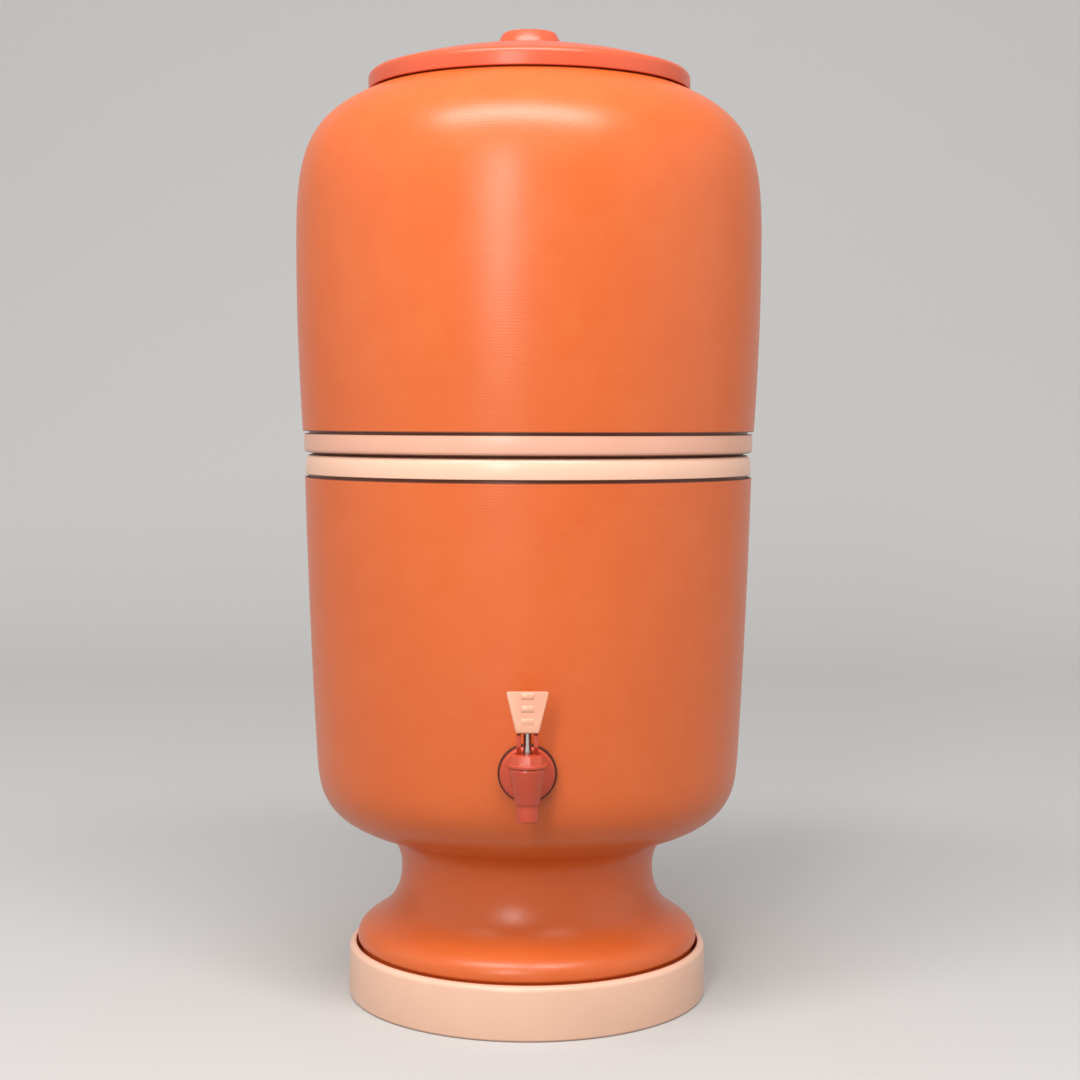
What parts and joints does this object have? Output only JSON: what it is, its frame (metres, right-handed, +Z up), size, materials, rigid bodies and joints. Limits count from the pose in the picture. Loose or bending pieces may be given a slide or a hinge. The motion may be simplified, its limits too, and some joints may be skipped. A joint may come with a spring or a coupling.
{
  "type": "gravity water filter",
  "caption": "Terracotta gravity water filter: stacked round clay chambers on a pedestal foot, with lid, candle, float valve and lever tap.",
  "frame": {"origin": "centre of the base stand's underside, on its centre boss, where the filter stands on a surface", "axes": "+Z up along the axis of both chambers; the tap faces -Y; +X to the right as seen from the front"},
  "size_m": [0.2682, 0.2943, 0.5584],
  "materials": {
    "terracotta": "smooth unglazed clay with a soft sheen",
    "peach_plastic": "semi-gloss moulded plastic",
    "red_plastic": "semi-gloss moulded plastic",
    "white_plastic": "matte moulded plastic",
    "candle_ceramic": "matte porous ceramic",
    "active_carbon": "matte pressed granules",
    "dark_rubber": "matte rubber",
    "steel": "drawn stainless wire and rod"
  },
  "bodies": {
    "lower": {"base_stand": "peach_plastic", "lower_chamber": "terracotta", "lower_rim_ring": "peach_plastic", "tap_body": "red_plastic", "tap_flange_washer": "dark_rubber", "tap_inner_washer": "dark_rubber", "tap_nut": "red_plastic", "tap_bonnet_gasket": "dark_rubber", "tap_stem_guide": "red_plastic", "tap_bonnet_ring": "red_plastic", "tap_spring": "steel"},
    "stem": {"tap_stem": "steel", "tap_valve_plug": "dark_rubber", "tap_lever_pin": "steel"},
    "lever": {"tap_lever": "peach_plastic"},
    "upper": {"upper_chamber": "terracotta", "upper_rim_ring": "peach_plastic", "candle_base": "white_plastic", "candle_shell": "candle_ceramic", "candle_core": "active_carbon", "candle_washer": "dark_rubber", "candle_lower_washer": "dark_rubber", "candle_wing_nut": "white_plastic", "float_valve_body": "white_plastic", "float_hinge_pin": "steel"},
    "float": {"float_arm": "white_plastic", "float_seal": "dark_rubber", "float_cap": "white_plastic", "float_cup": "white_plastic"},
    "cover": {"lid": "red_plastic"}
  },
  "joints": [
    {"name": "upper_lift", "type": "slide", "parent": "lower", "child": "upper", "axis": [0, 0, 1], "range_m": [0, 0.16]},
    {"name": "lid_lift", "type": "slide", "parent": "upper", "child": "cover", "axis": [0, 0, 1], "range_m": [0, 0.12]},
    {"name": "float_swing", "type": "hinge", "parent": "upper", "child": "float", "pos_m": [-0.0135, 0, 0.2523], "axis": [0, -1, 0], "range_deg": [0, 28]},
    {"name": "stem_lift", "type": "slide", "parent": "lower", "child": "stem", "axis": [0, 0, 1], "range_m": [0, 0.00214], "stiffness_N_per_m": 300, "springref_m": -0.006, "deforming": ["tap_spring"]},
    {"name": "lever_tilt", "type": "hinge", "parent": "stem", "child": "lever", "pos_m": [0, -0.14992, 0.1803], "axis": [1, 0, 0], "range_deg": [0, 35]}
  ],
  "couplings": [
    {"joint": "lever_tilt", "follows": "stem_lift", "rad_per_m": 285.71}
  ]
}
